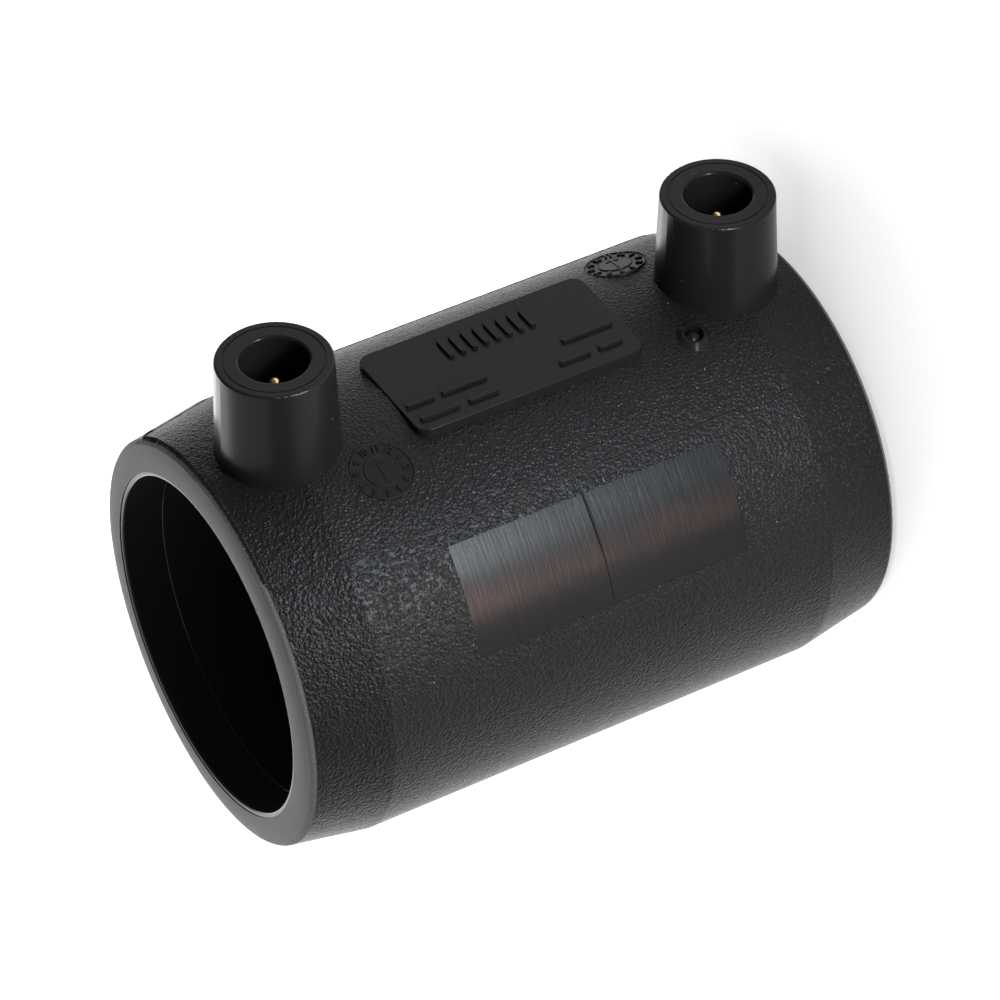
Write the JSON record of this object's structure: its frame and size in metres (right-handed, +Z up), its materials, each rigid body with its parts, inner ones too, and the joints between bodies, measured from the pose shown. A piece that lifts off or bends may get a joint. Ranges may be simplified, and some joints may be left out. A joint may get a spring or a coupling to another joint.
{
  "type": "electrofusion coupler",
  "caption": "Black plastic electrofusion coupler: a thick sleeve that joins two pipe ends, with two raised round terminal shrouds in line and a flat label plate between them.",
  "frame": {"origin": "centre of the lower end face, on the axis of the bore; the part stands on this face", "axes": "+Z up the bore to the other socket; the two terminal shrouds point along -Y; +X completes a right-handed frame"},
  "size_m": [0.0653, 0.0794, 0.097],
  "materials": {
    "body": "black polyethylene, leather grain outside and smooth in the bore",
    "wire": "drawn resistance wire, moulded in",
    "contact": "polished",
    "indicator": "smooth black polyethylene"
  },
  "bodies": {
    "root": {"body": "body", "heating_wire": "wire", "contact_pin_upper": "contact", "contact_pin_lower": "contact", "fusion_indicator_upper": "indicator", "fusion_indicator_lower": "indicator"}
  },
  "joints": []
}
